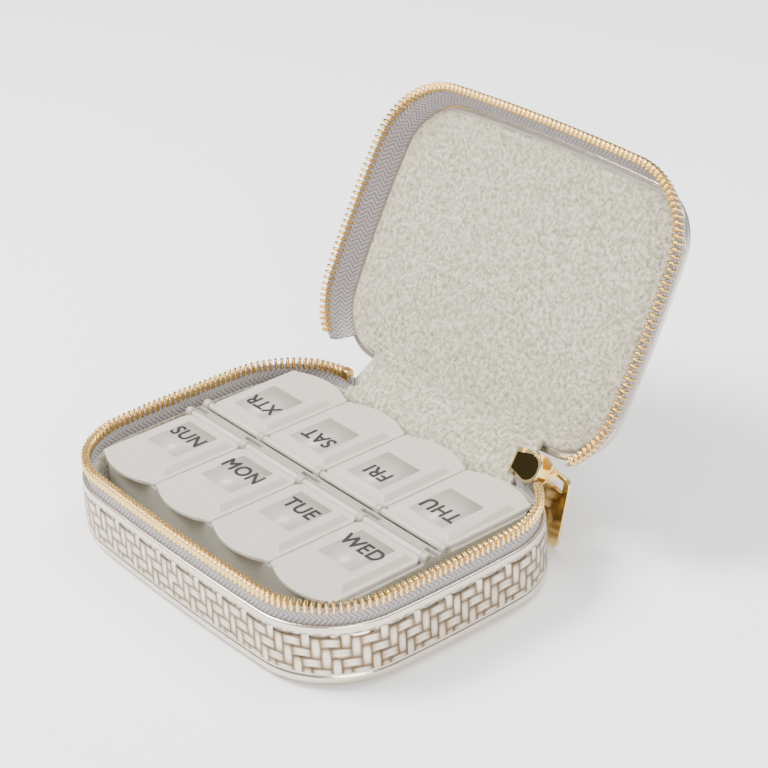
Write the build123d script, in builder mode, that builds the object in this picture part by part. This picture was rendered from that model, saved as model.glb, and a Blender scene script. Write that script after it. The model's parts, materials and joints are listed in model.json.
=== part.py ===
from build123d import *
import math
import os

# Travel pill organizer: a zipped case, open, with an eight-compartment pill tray inside.
# Millimetres, +Z up, X along the case's hinge, +Y towards the hinge.
# The origin is the middle of the flat underside.

os.makedirs("parts", exist_ok=True)

# ---------------------------------------------------------------- driving dimensions
# The ring is the line that the zip follows, seen from above
ring_length = 110.0
ring_width = 79.5
ring_corner = 21.5
side_bow = 1.8

# Heights above the surface that the case stands on
zip_plane = 22.0
wall_below_zip = 5.1
wall_bottom = 3.9
seam_height = 2.8

# Soft walls
leather = 1.1
tape_thick = 0.6
seam_gap = 0.05
stiffener_thick = 1.1
lining_thick = 0.8
floor_leather = 1.2
board_thick = 1.4
bottom_edge_radius = 2.6
welt_proud = 0.35
welt_round = 0.4
tape_tail_length = 13.5
lining_drop = 0.7

# Zip chain
tooth_pitch = 1.6
tooth_length = 0.74
tooth_thick = 2.2
tooth_height = 2.9
tooth_bite = 1.2
tooth_clamp = 1.4
tooth_round = 0.3
upper_chain_gap = 5.0
stop_length = 2.4
stop_room = 0.25

# Hinge of the case
lid_open_angle = 120.0
strip_corner_room = 1.0
hinge_strip_thick = 0.8
hinge_spine_thick = 1.1
hinge_strip_drop = 14.0
strip_room = 0.4
strip_overlap = 2.0
hinge_spine_drop = 13.0
spine_fold_out = 3.0
spine_drop = 2.0
spine_crest = 0.4
spine_lift = 0.9

# Case lid, measured up from the zip plane when the case is closed
lid_lining_height = 6.6
lid_board_height = 7.6
lid_welt_height = 7.6
lid_cover_height = 8.5
lid_top_height = 10.6
lid_skin = 1.0
lid_inset = 3.4
lid_corner_tighter = 6.0
lid_edge_radius = 1.3
skirt_start = 4.0

# Zip slider and its pull tab
slider_room = 1.0
slider_rise = 1.0
slider_tip = 35.0
slider_length = 9.0
slider_round_radius = 3.9
slider_tail_width = 7.0
slider_tail_length = 1.6
slider_waist_width = 5.2
slider_waist_length = 3.4
slider_plate = 1.0
slider_channel = 3.0
slider_flange = 0.6
slider_flange_height = 0.7
slider_post_length = 1.5
slider_post_width = 2.2
bridge_length = 5.2
bridge_middle = 1.2
bridge_width = 1.4
bridge_bar = 0.8
bridge_hole = 3.9
tab_hang = 2.3
slider_clearance = 0.6
tab_length = 22.0
tab_width = 8.4
tab_thick = 1.0
tab_strip = 1.2
tab_slot = 3.8
tab_slot_width = 5.4
tab_slot_round = 0.5
tab_crown = 1.0
tab_round = 1.8
tab_lean = 14.0

# Pill tray
tray_shift = 1.0
column_count = 4
tray_end_room = 4.4
tray_side_room = 7.0
rim_below_zip = 2.9
tray_corner_tighter = 16.5
tray_wall = 1.2
tray_floor = 1.2
divider = 1.2
tray_foot_radius = 1.0
spine_wall = 2.4
spine_rise = 0.8
slot_length = 7.0
slot_width = 1.2
slot_depth = 3.0

# Pill lids
lid_gap = 0.5
pill_lid_thick = 0.9
barrel_radius = 0.9
barrel_gap = 0.65
pin_radius = 0.6
pin_clearance = 0.08
pin_reach = 0.75
rib_thick = 1.9
rib_radius = 1.3
rib_depth = 3.0
rib_side_gap = 0.15
rib_sweep_gap = 0.3
plateau_margin = 1.3
plateau_back = 0.8
plateau_front = 4.2
plateau_rise = 1.3
plateau_bevel = 45.0
window_side_room = 2.75
window_back_room = 0.6
window_front_room = 4.9
window_depth = 0.25
thumb_inset = 1.6
thumb_bulge = 2.4
lid_corner_radius = 1.2

# ---------------------------------------------------------------- derived places
hinge_y = ring_width / 2
wall_top = zip_plane - wall_below_zip
tooth_tip = zip_plane + tooth_bite / 2
tape_edge = tooth_bite / 2 - tooth_height + tooth_clamp
tape_tail = zip_plane - tape_tail_length
stop_slot = tape_thick + 2 * stop_room
wall_out = tape_thick / 2 + seam_gap + leather
wall_in = tape_thick / 2 + seam_gap
stiffener_out = -tape_thick / 2 - seam_gap
stiffener_in = stiffener_out - stiffener_thick
lining_in = stiffener_in - lining_thick
board_top = floor_leather + board_thick
tray_seat = board_top + lining_thick
rim = zip_plane - rim_below_zip
tray_height = rim - tray_seat
column_middle = (column_count - 1) / 2
tray_length = ring_length + 2 * lining_in - 2 * tray_end_room
tray_depth = ring_width + 2 * lining_in - 2 * tray_side_room
column_pitch = (tray_length - rib_thick) / column_count
tray_corner = ring_corner - tray_corner_tighter
hinge_strip_width = ring_length - 2 * ring_corner - 2 * strip_corner_room
slider_x = hinge_strip_width / 2 + slider_room + slider_length / 2
pin_axis_y = spine_wall / 2 + barrel_gap + barrel_radius
pin_axis_z = rim + pill_lid_thick
lid_length = ring_length - 2 * lid_inset
lid_width = ring_width - 2 * lid_inset
lid_corner = ring_corner - lid_corner_tighter

open_rad = math.radians(lid_open_angle)
lid_up = (0, math.sin(open_rad), math.cos(open_rad))
lid_frame = Plane(origin=(0, hinge_y, zip_plane), x_dir=(1, 0, 0), z_dir=lid_up)
lid_axis = Axis((0, hinge_y, zip_plane), lid_up)

# The slider tips back by its own angle while the lid is open. Its frame looks out through its outer plate.
tip_rad = math.radians(slider_tip)
slider_out = (0, math.cos(tip_rad), -math.sin(tip_rad))
slider_frame = Plane(
    origin=(slider_x, hinge_y, zip_plane + slider_rise), x_dir=(1, 0, 0), z_dir=slider_out
)

# The pull tab hangs from the bridge at its own lean, one side strip of its eye under the bridge's bar
lean_rad = math.radians(tab_lean)
tab_pivot = slider_frame.from_local_coords(
    (bridge_middle, 0, slider_channel / 2 + slider_plate + tab_hang)
)
tab_frame = Plane(
    origin=tab_pivot, x_dir=(math.cos(lean_rad), 0, -math.sin(lean_rad)), z_dir=(0, -1, 0)
)
tab_top = tab_slot / 2 + tab_crown


def outline(length, width, corner, bow):
    """A rectangle of the given overall size, with round corners and sides that bow out."""
    hx = length / 2 - bow
    hy = width / 2 - bow
    with BuildSketch() as face:
        with BuildLine():
            ThreePointArc((-hx, -hy), (0, -hy - bow), (hx, -hy))
            ThreePointArc((hx, -hy), (hx + bow, 0), (hx, hy))
            ThreePointArc((hx, hy), (0, hy + bow), (-hx, hy))
            ThreePointArc((-hx, hy), (-hx - bow, 0), (-hx, -hy))
        make_face()
        fillet(face.vertices(), radius=corner)
    return face.sketch


def ring_at(out):
    """The ring's outline, moved out by a distance, or in where it is negative."""
    return outline(ring_length + 2 * out, ring_width + 2 * out, ring_corner + out, side_bow)


def cover_at(out):
    """The lid cover's outline, moved out or in the same way."""
    return outline(lid_length + 2 * out, lid_width + 2 * out, lid_corner + out, side_bow)


def finish(node, label):
    """Name a finished piece and write it to its own file."""
    node.part.label = label
    export_step(node.part, f"parts/{label}.step")


# ---------------------------------------------------------------- base: leather, boards and lining
with BuildPart() as base_bottom_cover:
    with BuildSketch():
        add(ring_at(wall_out))
    extrude(amount=seam_height)
    fillet(base_bottom_cover.faces().sort_by(Axis.Z)[0].edges(), radius=bottom_edge_radius)
    with BuildSketch(Plane.XY.offset(floor_leather)):
        add(ring_at(wall_in))
    extrude(amount=seam_height, mode=Mode.SUBTRACT)

with BuildPart() as base_bottom_welt:
    with BuildSketch(Plane.XY.offset(seam_height)):
        add(ring_at(wall_out + welt_proud))
        add(ring_at(wall_in), mode=Mode.SUBTRACT)
    extrude(amount=wall_bottom - seam_height)
    fillet(base_bottom_welt.faces().sort_by(Axis.Z)[0].outer_wire().edges(), radius=welt_round)
    fillet(base_bottom_welt.faces().sort_by(Axis.Z)[-1].outer_wire().edges(), radius=welt_round)

with BuildPart() as base_outer_wall:
    with BuildSketch(Plane.XY.offset(wall_bottom)):
        add(ring_at(wall_out))
        add(ring_at(wall_in), mode=Mode.SUBTRACT)
    extrude(amount=wall_top - wall_bottom)

with BuildPart() as base_bottom_board:
    with BuildSketch(Plane.XY.offset(floor_leather)):
        add(ring_at(wall_in - seam_gap))
    extrude(amount=board_thick)

with BuildPart() as base_wall_stiffener:
    with BuildSketch(Plane.XY.offset(board_top)):
        add(ring_at(stiffener_out))
        add(ring_at(stiffener_in), mode=Mode.SUBTRACT)
    extrude(amount=wall_top - lining_drop - board_top)

with BuildPart() as base_wall_lining:
    with BuildSketch(Plane.XY.offset(board_top)):
        add(ring_at(stiffener_in))
        add(ring_at(lining_in), mode=Mode.SUBTRACT)
    extrude(amount=wall_top - board_top)

with BuildPart() as base_floor_lining:
    with BuildSketch(Plane.XY.offset(board_top)):
        add(ring_at(lining_in - seam_gap))
    extrude(amount=lining_thick)

# ---------------------------------------------------------------- zip: tapes
# The lower tape stops at the ends of the suede strip, with a notch for the slider.
# The upper tape stops short of the hinge line.
strip_half = hinge_strip_width / 2
strip_sag = side_bow * (strip_half / (ring_length / 2 - side_bow + lining_in)) ** 2
slider_reach = math.hypot(slider_tail_width / 2 + slider_flange, slider_channel / 2 + slider_plate)
notch_reach = slider_reach + slider_clearance
notch_left = slider_x - slider_length / 2 - slider_clearance
notch_right = slider_x + slider_length / 2 + slider_clearance

with BuildPart() as lower_zip_tape:
    with BuildSketch(Plane.XY.offset(tape_tail)):
        add(ring_at(tape_thick / 2))
        add(ring_at(-tape_thick / 2), mode=Mode.SUBTRACT)
    extrude(amount=zip_plane + tape_edge - tape_tail)
    with BuildSketch(Plane.XY.offset(tape_tail)):
        with Locations((0, hinge_y)):
            Rectangle(hinge_strip_width, 2 * notch_reach)
    extrude(amount=zip_plane, mode=Mode.SUBTRACT)
    with BuildSketch(Plane.XY.offset(zip_plane - notch_reach)):
        with Locations(((notch_left + notch_right) / 2, hinge_y)):
            Rectangle(notch_right - notch_left, 2 * notch_reach)
    extrude(amount=zip_plane, mode=Mode.SUBTRACT)

with BuildPart() as upper_zip_tape:
    with BuildSketch(lid_frame.offset(-tape_edge)):
        with Locations((0, -hinge_y)):
            add(ring_at(tape_thick / 2))
            add(ring_at(-tape_thick / 2), mode=Mode.SUBTRACT)
    extrude(amount=skirt_start + tape_edge)
    with BuildSketch(lid_frame.offset(skirt_start)):
        with Locations((0, -hinge_y)):
            add(ring_at(tape_thick / 2))
    with BuildSketch(lid_frame.offset(lid_welt_height)):
        with Locations((0, -hinge_y)):
            add(cover_at(0))
    loft()
    with BuildSketch(lid_frame.offset(skirt_start)):
        with Locations((0, -hinge_y)):
            add(ring_at(-tape_thick / 2))
    with BuildSketch(lid_frame.offset(lid_welt_height)):
        with Locations((0, -hinge_y)):
            add(cover_at(-tape_thick))
    loft(mode=Mode.SUBTRACT)
    with BuildSketch(lid_frame.offset(-tape_edge)):
        Rectangle(2 * ring_length, 2 * upper_chain_gap)
    extrude(amount=lid_top_height, mode=Mode.SUBTRACT)

# ---------------------------------------------------------------- zip: teeth
ring_path = ring_at(0).face().outer_wire()
tooth_count = round(ring_path.length / tooth_pitch)

with BuildPart() as tooth:
    with BuildSketch(Plane.YZ.offset(-tooth_length / 2)):
        with Locations((0, tooth_bite / 2 - tooth_height / 2)):
            RectangleRounded(tooth_thick, tooth_height, tooth_round)
        with Locations((0, tape_edge - tooth_clamp / 2)):
            Rectangle(tape_thick + 2 * seam_gap, tooth_clamp, mode=Mode.SUBTRACT)
    extrude(amount=tooth_length)


def tooth_place(step):
    """Where a tooth stands on the ring, a whole or half number of pitches along it."""
    share = (step / tooth_count) % 1.0
    spot = ring_path.position_at(share)
    run = ring_path.tangent_at(share)
    return Plane(origin=spot, x_dir=run, z_dir=(0, 0, 1))


def lower_tooth_stands(place):
    """Lower teeth fill the ring except for the suede strip and the slider."""
    at_back = place.origin.Y > hinge_y - upper_chain_gap
    under_strip = abs(place.origin.X) < strip_half + stop_length + tooth_length
    at_slider = notch_left - tooth_length < place.origin.X < notch_right + tooth_length
    return not (at_back and (under_strip or at_slider))


lower_places = [tooth_place(step) for step in range(tooth_count)]
lower_places = [place for place in lower_places if lower_tooth_stands(place)]
upper_places = [tooth_place(step + 0.5) for step in range(tooth_count)]
upper_places = [p for p in upper_places if p.origin.Y < hinge_y - upper_chain_gap - tooth_length]

with BuildPart() as lower_zip_teeth:
    with Locations(*[place.offset(zip_plane).location for place in lower_places]):
        add(tooth.part)

# An upper tooth is a lower one turned over, on the lid's own plane
with BuildPart() as upper_zip_teeth:
    turned = tooth.part.rotate(Axis.X, 180)
    spots = [lid_frame.location * Location((0, -hinge_y, 0)) * place.location for place in upper_places]
    with Locations(*spots):
        add(turned)

# The metal stop at the left end of the lower chain, clamped on the tape beside the suede strip
with BuildPart() as zip_end_stop:
    with BuildSketch(Plane.YZ.offset(-strip_half - stop_length)):
        with Locations((hinge_y - strip_sag, tooth_tip - tooth_height / 2)):
            RectangleRounded(tooth_thick, tooth_height, tooth_round)
        with Locations((hinge_y - strip_sag, zip_plane + tape_edge - tooth_clamp / 2)):
            Rectangle(stop_slot, tooth_clamp, mode=Mode.SUBTRACT)
    extrude(amount=stop_length)

# ---------------------------------------------------------------- case lid
with BuildPart() as lid_outer_cover:
    with BuildSketch(lid_frame.offset(lid_cover_height)):
        with Locations((0, -hinge_y)):
            add(cover_at(0))
    extrude(amount=lid_top_height - lid_cover_height)
    fillet(lid_outer_cover.faces().sort_by(lid_axis)[-1].edges(), radius=lid_edge_radius)
    with BuildSketch(lid_frame.offset(lid_cover_height)):
        with Locations((0, -hinge_y)):
            add(cover_at(-leather))
    extrude(amount=lid_top_height - lid_cover_height - lid_skin, mode=Mode.SUBTRACT)

with BuildPart() as lid_welt:
    with BuildSketch(lid_frame.offset(lid_welt_height)):
        with Locations((0, -hinge_y)):
            add(cover_at(welt_proud))
            add(cover_at(-leather), mode=Mode.SUBTRACT)
    extrude(amount=lid_cover_height - lid_welt_height)

with BuildPart() as lid_board:
    with BuildSketch(lid_frame.offset(lid_board_height)):
        with Locations((0, -hinge_y)):
            add(cover_at(-leather - seam_gap))
    extrude(amount=lid_top_height - lid_skin - lid_board_height)

with BuildPart() as lid_lining:
    with BuildSketch(lid_frame.offset(lid_lining_height)):
        with Locations((0, -hinge_y)):
            add(cover_at(-leather - tape_thick))
    extrude(amount=lid_board_height - lid_lining_height)

# ---------------------------------------------------------------- hinge: suede inside, leather outside
def in_base(y, z):
    """A point on the hinge's cross-section, given from the hinge line in the base's own directions."""
    return (hinge_y + y, zip_plane + z)


def on_lid(back, up):
    """A point on the same cross-section, given in the closed lid's directions and carried to the open lid."""
    y = back * math.cos(open_rad) + up * math.sin(open_rad)
    z = -back * math.sin(open_rad) + up * math.cos(open_rad)
    return (hinge_y + y, zip_plane + z)


lining_edge = -lid_inset - leather - tape_thick
strip_middle = lining_in - strip_sag - strip_room - hinge_strip_thick / 2
strip_on_lining = lid_lining_height - seam_gap - hinge_strip_thick / 2
spine_middle = wall_out + seam_gap + hinge_spine_thick / 2
spine_fold = wall_out + spine_fold_out
spine_on_lid = -lid_inset + welt_proud + seam_gap + hinge_spine_thick / 2

with BuildPart() as hinge_strip:
    with BuildSketch(Plane.YZ.offset(-strip_half)):
        with BuildLine():
            Polyline(
                in_base(strip_middle, -hinge_strip_drop),
                in_base(strip_middle, -wall_below_zip),
                on_lid(lining_edge, strip_on_lining),
                on_lid(lining_edge - strip_overlap, strip_on_lining),
            )
        trace(line_width=hinge_strip_thick)
    extrude(amount=hinge_strip_width)

with BuildPart() as hinge_spine:
    with BuildSketch(Plane.YZ.offset(-strip_half)):
        with BuildLine():
            Polyline(
                in_base(spine_middle, -hinge_spine_drop),
                in_base(spine_middle, -wall_below_zip - spine_drop),
                in_base(spine_fold, -wall_below_zip + spine_crest),
                on_lid(spine_on_lid, lid_top_height - spine_lift),
                on_lid(spine_on_lid, lid_cover_height),
            )
        trace(line_width=hinge_spine_thick)
    extrude(amount=hinge_strip_width)

# ---------------------------------------------------------------- zip slider and pull tab
with BuildPart() as slider_body:
    for face_height in (-slider_channel / 2 - slider_plate, slider_channel / 2):
        with BuildSketch(slider_frame.offset(face_height)):
            with Locations((slider_length / 2 - slider_round_radius, 0)):
                Circle(slider_round_radius)
            with Locations((-slider_waist_length / 2, 0)):
                Rectangle(slider_length - slider_waist_length, slider_waist_width)
            with Locations((-slider_length / 2 + slider_tail_length / 2, 0)):
                Rectangle(slider_tail_length, slider_tail_width)
        extrude(amount=slider_plate)
    with BuildSketch(slider_frame.offset(-slider_channel / 2)):
        with Locations((slider_length / 2 - slider_post_length / 2, 0)):
            Rectangle(slider_post_length, slider_post_width)
    extrude(amount=slider_channel)
    for edge in (-1, 1):
        flange_y = edge * (slider_tail_width / 2 - slider_flange / 2)
        for low in (-slider_channel / 2, slider_channel / 2 - slider_flange_height):
            with BuildSketch(slider_frame.offset(low)):
                with Locations((-slider_length / 2 + slider_tail_length / 2, flange_y)):
                    Rectangle(slider_tail_length, slider_flange)
            extrude(amount=slider_flange_height)
    with BuildSketch(slider_frame.offset(slider_channel / 2 + slider_plate)):
        with Locations((bridge_middle, 0)):
            Rectangle(bridge_length, bridge_width)
    extrude(amount=bridge_hole + bridge_bar)
    with BuildSketch(slider_frame.offset(slider_channel / 2 + slider_plate)):
        with Locations((bridge_middle, 0)):
            Rectangle(bridge_length - 2 * bridge_bar, 2 * bridge_width)
    extrude(amount=bridge_hole, mode=Mode.SUBTRACT)

with BuildPart() as pull_tab:
    with BuildSketch(tab_frame.offset(-tab_thick / 2)):
        with Locations((tab_width / 2 - tab_strip / 2, tab_top - tab_length / 2)):
            RectangleRounded(tab_width, tab_length, tab_round)
        with Locations((tab_strip / 2 + tab_slot_width / 2, 0)):
            RectangleRounded(tab_slot_width, tab_slot, tab_slot_round, mode=Mode.SUBTRACT)
    extrude(amount=tab_thick)

# ---------------------------------------------------------------- pill tray
inner_depth = (tray_depth - spine_wall) / 2 - tray_wall
row_middle = spine_wall / 2 + inner_depth / 2
seams = [(i - column_count / 2) * column_pitch for i in range(column_count + 1)]

with BuildPart() as pill_tray:
    with BuildSketch(Plane.XY.offset(tray_seat)):
        with Locations((0, tray_shift)):
            RectangleRounded(tray_length, tray_depth, tray_corner)
    extrude(amount=tray_height)
    fillet(pill_tray.faces().sort_by(Axis.Z)[0].edges(), radius=tray_foot_radius)
    with BuildSketch(Plane.XY.offset(tray_seat + tray_floor)):
        with Locations((0, tray_shift - row_middle), (0, tray_shift + row_middle)):
            RectangleRounded(tray_length - 2 * tray_wall, inner_depth, tray_corner - tray_wall)
    extrude(amount=tray_height, mode=Mode.SUBTRACT)
    with BuildSketch(Plane.XY.offset(tray_seat + tray_floor)):
        with Locations(*[(x, tray_shift) for x in seams[1:-1]]):
            Rectangle(divider, tray_depth - 2 * tray_wall)
    extrude(amount=tray_height - tray_floor)
    with BuildSketch(Plane.XY.offset(rim)):
        with Locations((0, tray_shift)):
            Rectangle(tray_length, spine_wall)
    extrude(amount=spine_rise)
    for x in seams:
        for side in (-1, 1):
            with BuildSketch(Plane.YZ.offset(x - rib_thick / 2)):
                with Locations((tray_shift + side * pin_axis_y, pin_axis_z)):
                    Circle(rib_radius)
                with Locations((tray_shift + side * pin_axis_y, pin_axis_z - rib_depth / 2)):
                    Rectangle(2 * rib_radius, rib_depth)
            extrude(amount=rib_thick)
    with BuildSketch(Plane.YZ.offset(-tray_length)):
        with Locations(*[(tray_shift + side * pin_axis_y, pin_axis_z) for side in (-1, 1)]):
            Circle(pin_radius + pin_clearance)
    extrude(amount=2 * tray_length, mode=Mode.SUBTRACT)
    with BuildSketch(Plane.XY.offset(rim + spine_rise - slot_depth)):
        with Locations(*[(x, tray_shift) for x in seams]):
            Rectangle(slot_length, slot_width)
    extrude(amount=slot_depth, mode=Mode.SUBTRACT)

# ---------------------------------------------------------------- pill lids
# One lid, with its pins on the X axis and its plate reaching out along -Y
plate_half = column_pitch / 2 - lid_gap / 2
barrel_half = (column_pitch - rib_thick) / 2 - rib_side_gap
pin_half = (column_pitch - rib_thick) / 2 + pin_reach
plate_start = rib_radius + rib_sweep_gap
plate_end = tray_depth / 2 - pin_axis_y
plateau_length = plate_end - plateau_front - plate_start - plateau_back
plateau_y = -(plate_start + plateau_back + plateau_length / 2)
plateau_x = 2 * (plate_half - plateau_margin)
bevel_run = plateau_rise * math.tan(math.radians(plateau_bevel))
window_length = plateau_x - 2 * bevel_run - 2 * window_side_room
window_width = plateau_length - 2 * bevel_run - window_back_room - window_front_room
window_start = plate_start + plateau_back + bevel_run + window_back_room
thumb_half = plate_half - thumb_inset

with BuildPart() as pill_lid:
    with BuildSketch(Plane.XY.offset(-pill_lid_thick)):
        with Locations((0, -(plate_start + plate_end) / 2)):
            RectangleRounded(2 * plate_half, plate_end - plate_start, lid_corner_radius)
        with BuildLine():
            ThreePointArc((-thumb_half, -plate_end), (0, -plate_end - thumb_bulge), (thumb_half, -plate_end))
            Polyline((thumb_half, -plate_end), (0, plateau_y), (-thumb_half, -plate_end))
        make_face()
        with Locations((0, -plate_start)):
            Rectangle(2 * barrel_half, 2 * plate_start)
    extrude(amount=pill_lid_thick)
    with BuildSketch():
        with Locations((0, plateau_y)):
            Rectangle(plateau_x, plateau_length)
    extrude(amount=plateau_rise, taper=plateau_bevel)
    with BuildSketch(Plane.XY.offset(-pill_lid_thick)):
        with Locations((0, plateau_y)):
            Rectangle(plateau_x - pill_lid_thick, plateau_length - pill_lid_thick)
    extrude(amount=plateau_rise, taper=plateau_bevel / 2, mode=Mode.SUBTRACT)
    with BuildSketch(Plane.XY.offset(plateau_rise - window_depth)):
        with Locations((0, -window_start - window_width / 2)):
            Rectangle(window_length, window_width)
    extrude(amount=window_depth, mode=Mode.SUBTRACT)
    with BuildSketch(Plane.YZ.offset(-barrel_half)):
        Circle(barrel_radius)
    extrude(amount=2 * barrel_half)
    with BuildSketch(Plane.YZ.offset(-pin_half)):
        Circle(pin_radius)
    extrude(amount=2 * pin_half)

# ---------------------------------------------------------------- write every piece
finish(base_bottom_cover, "base_bottom_cover")
finish(base_bottom_welt, "base_bottom_welt")
finish(base_outer_wall, "base_outer_wall")
finish(base_bottom_board, "base_bottom_board")
finish(base_wall_stiffener, "base_wall_stiffener")
finish(base_wall_lining, "base_wall_lining")
finish(base_floor_lining, "base_floor_lining")
finish(lower_zip_tape, "lower_zip_tape")
finish(lower_zip_teeth, "lower_zip_teeth")
finish(zip_end_stop, "zip_end_stop")
finish(upper_zip_tape, "upper_zip_tape")
finish(upper_zip_teeth, "upper_zip_teeth")
finish(lid_outer_cover, "lid_outer_cover")
finish(lid_welt, "lid_welt")
finish(lid_board, "lid_board")
finish(lid_lining, "lid_lining")
finish(hinge_strip, "hinge_strip")
finish(hinge_spine, "hinge_spine")
finish(slider_body, "slider_body")
finish(pull_tab, "pull_tab")
finish(pill_tray, "pill_tray")

# The front row opens from the front edge, the back row from the back edge
days = {-1: ["sun", "mon", "tue", "wed"], 1: ["xtr", "sat", "fri", "thu"]}
for side, names in days.items():
    for column, day in enumerate(names):
        x = (column - column_middle) * column_pitch
        turn = 0 if side < 0 else 180
        with BuildPart() as day_lid:
            with Locations(Location((x, tray_shift + side * pin_axis_y, pin_axis_z), (0, 0, turn))):
                add(pill_lid.part)
        finish(day_lid, f"lid_{day}")
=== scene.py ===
import json
import math

import bmesh
import bpy
import numpy as np
from mathutils import Matrix, Vector

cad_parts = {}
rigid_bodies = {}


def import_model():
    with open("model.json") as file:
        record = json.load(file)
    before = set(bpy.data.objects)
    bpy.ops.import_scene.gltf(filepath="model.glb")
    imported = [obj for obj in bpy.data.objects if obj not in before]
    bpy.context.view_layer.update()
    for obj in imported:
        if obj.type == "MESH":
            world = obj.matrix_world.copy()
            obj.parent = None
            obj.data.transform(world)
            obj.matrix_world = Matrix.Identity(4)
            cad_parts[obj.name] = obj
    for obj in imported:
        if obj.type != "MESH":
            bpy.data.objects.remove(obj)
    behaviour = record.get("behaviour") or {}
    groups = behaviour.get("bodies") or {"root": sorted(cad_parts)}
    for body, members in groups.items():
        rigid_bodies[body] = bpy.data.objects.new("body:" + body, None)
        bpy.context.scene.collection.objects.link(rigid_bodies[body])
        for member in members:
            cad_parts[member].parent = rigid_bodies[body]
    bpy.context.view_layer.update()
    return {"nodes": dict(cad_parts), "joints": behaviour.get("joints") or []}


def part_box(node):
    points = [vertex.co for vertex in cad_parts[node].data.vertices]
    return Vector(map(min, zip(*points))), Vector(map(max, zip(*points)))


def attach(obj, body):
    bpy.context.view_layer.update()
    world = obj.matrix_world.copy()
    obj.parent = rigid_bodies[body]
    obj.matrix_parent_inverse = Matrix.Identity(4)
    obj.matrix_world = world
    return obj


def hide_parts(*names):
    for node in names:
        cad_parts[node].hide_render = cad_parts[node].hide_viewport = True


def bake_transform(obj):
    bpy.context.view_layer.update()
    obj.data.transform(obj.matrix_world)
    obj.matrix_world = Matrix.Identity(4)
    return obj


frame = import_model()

# Travel pill organizer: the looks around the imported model. Lengths are in millimetres until a mesh is made.
MM = 0.001
nodes = frame["nodes"]
joints = {joint["name"]: joint for joint in frame["joints"]}

# ---------------------------------------------------------------- places taken from the frame
hinge_at = np.array(joints["case_lid_hinge"]["pos_m"]) / MM
hinge_y, zip_plane = hinge_at[1], hinge_at[2]
open_angle = math.radians(-joints["case_lid_hinge"]["range_deg"][0])
days_front = ["sun", "mon", "tue", "wed"]
days_back = ["xtr", "sat", "fri", "thu"]


def node_box(name):
    """Lowest and highest corner of a CAD node, in millimetres."""
    low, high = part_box(name)
    return np.array(low) / MM, np.array(high) / MM


def open_lid(points):
    """Points of the closed lid, carried to where the lid stands open."""
    points = np.asarray(points, float)
    back, up = points[..., 1] - hinge_y, points[..., 2] - zip_plane
    c, s = math.cos(open_angle), math.sin(open_angle)
    turned = np.stack([points[..., 0], hinge_y + back * c + up * s, zip_plane - back * s + up * c], -1)
    return turned


def close_lid(points):
    """The other way round: points of the open lid, carried to where they are when it is shut."""
    points = np.asarray(points, float)
    y, z = points[..., 1] - hinge_y, points[..., 2] - zip_plane
    c, s = math.cos(open_angle), math.sin(open_angle)
    return np.stack([points[..., 0], hinge_y + y * c - z * s, zip_plane + y * s + z * c], -1)


def node_points(name):
    """A CAD node's vertices in millimetres."""
    mesh = nodes[name].data
    points = np.zeros(len(mesh.vertices) * 3)
    mesh.vertices.foreach_get("co", points)
    return points.reshape(-1, 3) / MM


def hull_2d(points):
    """The convex outline of points in a plane, going round anticlockwise."""
    points = sorted(set(map(tuple, np.round(points, 4))))
    chains = []
    for row in (points, points[::-1]):
        chain = []
        for p in row:
            while len(chain) > 1:
                a, b = chain[-2], chain[-1]
                if (b[0] - a[0]) * (p[1] - a[1]) - (b[1] - a[1]) * (p[0] - a[0]) > 0:
                    break
                chain.pop()
            chain.append(p)
        chains += chain[:-1]
    return np.array(chains)


class Outline:
    """A closed outline, sampled evenly from the middle of its front side, with outward normals."""

    def __init__(self, corners, count):
        start = np.argmin(np.abs(corners[:, 0]) + 1e3 * (corners[:, 1] > corners[:, 1].mean()))
        corners = np.roll(corners, -start, axis=0)
        loop = np.vstack([corners, corners[:1]])
        steps = np.hypot(*np.diff(loop, axis=0).T)
        along = np.concatenate([[0], np.cumsum(steps)])
        self.length = along[-1]
        self.s = np.arange(count) * self.length / count
        self.points = np.stack([np.interp(self.s, along, loop[:, i]) for i in (0, 1)], -1)
        run = np.roll(self.points, -3, axis=0) - np.roll(self.points, 3, axis=0)
        run /= np.linalg.norm(run, axis=1)[:, None]
        self.run = run
        self.normal = np.stack([run[:, 1], -run[:, 0]], -1)

    def moved(self, out):
        """The outline moved out by a distance, or by one distance at each point."""
        return self.points + self.normal * np.reshape(out, (-1, 1))


def outline_of(points, level, count):
    """The outline of the points that lie at one height."""
    near = np.abs(points[:, 2] - level) < 0.01
    return Outline(hull_2d(points[near][:, :2]), count)


# ---------------------------------------------------------------- meshes
def add_mesh(name, vertices, faces, uv=None, smooth=True, attributes=None):
    """A mesh object from millimetre points. uv holds one pair for each corner of each face."""
    mesh = bpy.data.meshes.new(name)
    mesh.from_pydata((np.asarray(vertices) * MM).tolist(), [], [list(map(int, f)) for f in faces])
    if uv is not None:
        layer = mesh.uv_layers.new(name="cloth")
        layer.data.foreach_set("uv", np.asarray(uv, np.float32).ravel())
    for key, values in (attributes or {}).items():
        layer = mesh.attributes.new(key, "FLOAT", "POINT")
        layer.data.foreach_set("value", np.asarray(values, np.float32))
    mesh.polygons.foreach_set("use_smooth", [smooth] * len(mesh.polygons))
    mesh.update()
    piece = bpy.data.objects.new(name, mesh)
    bpy.context.scene.collection.objects.link(piece)
    return piece


def grid_faces(rows, columns, round_columns, round_rows=False):
    """Quads of a grid of points, whose columns or rows may join up into a ring."""
    r = np.arange(rows if round_rows else rows - 1)
    c = np.arange(columns if round_columns else columns - 1)
    r, c = np.meshgrid(r, c, indexing="ij")
    r2, c2 = (r + 1) % rows, (c + 1) % columns
    corners = [r * columns + c, r * columns + c2, r2 * columns + c2, r2 * columns + c]
    return np.stack(corners, -1).reshape(-1, 4)


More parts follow.
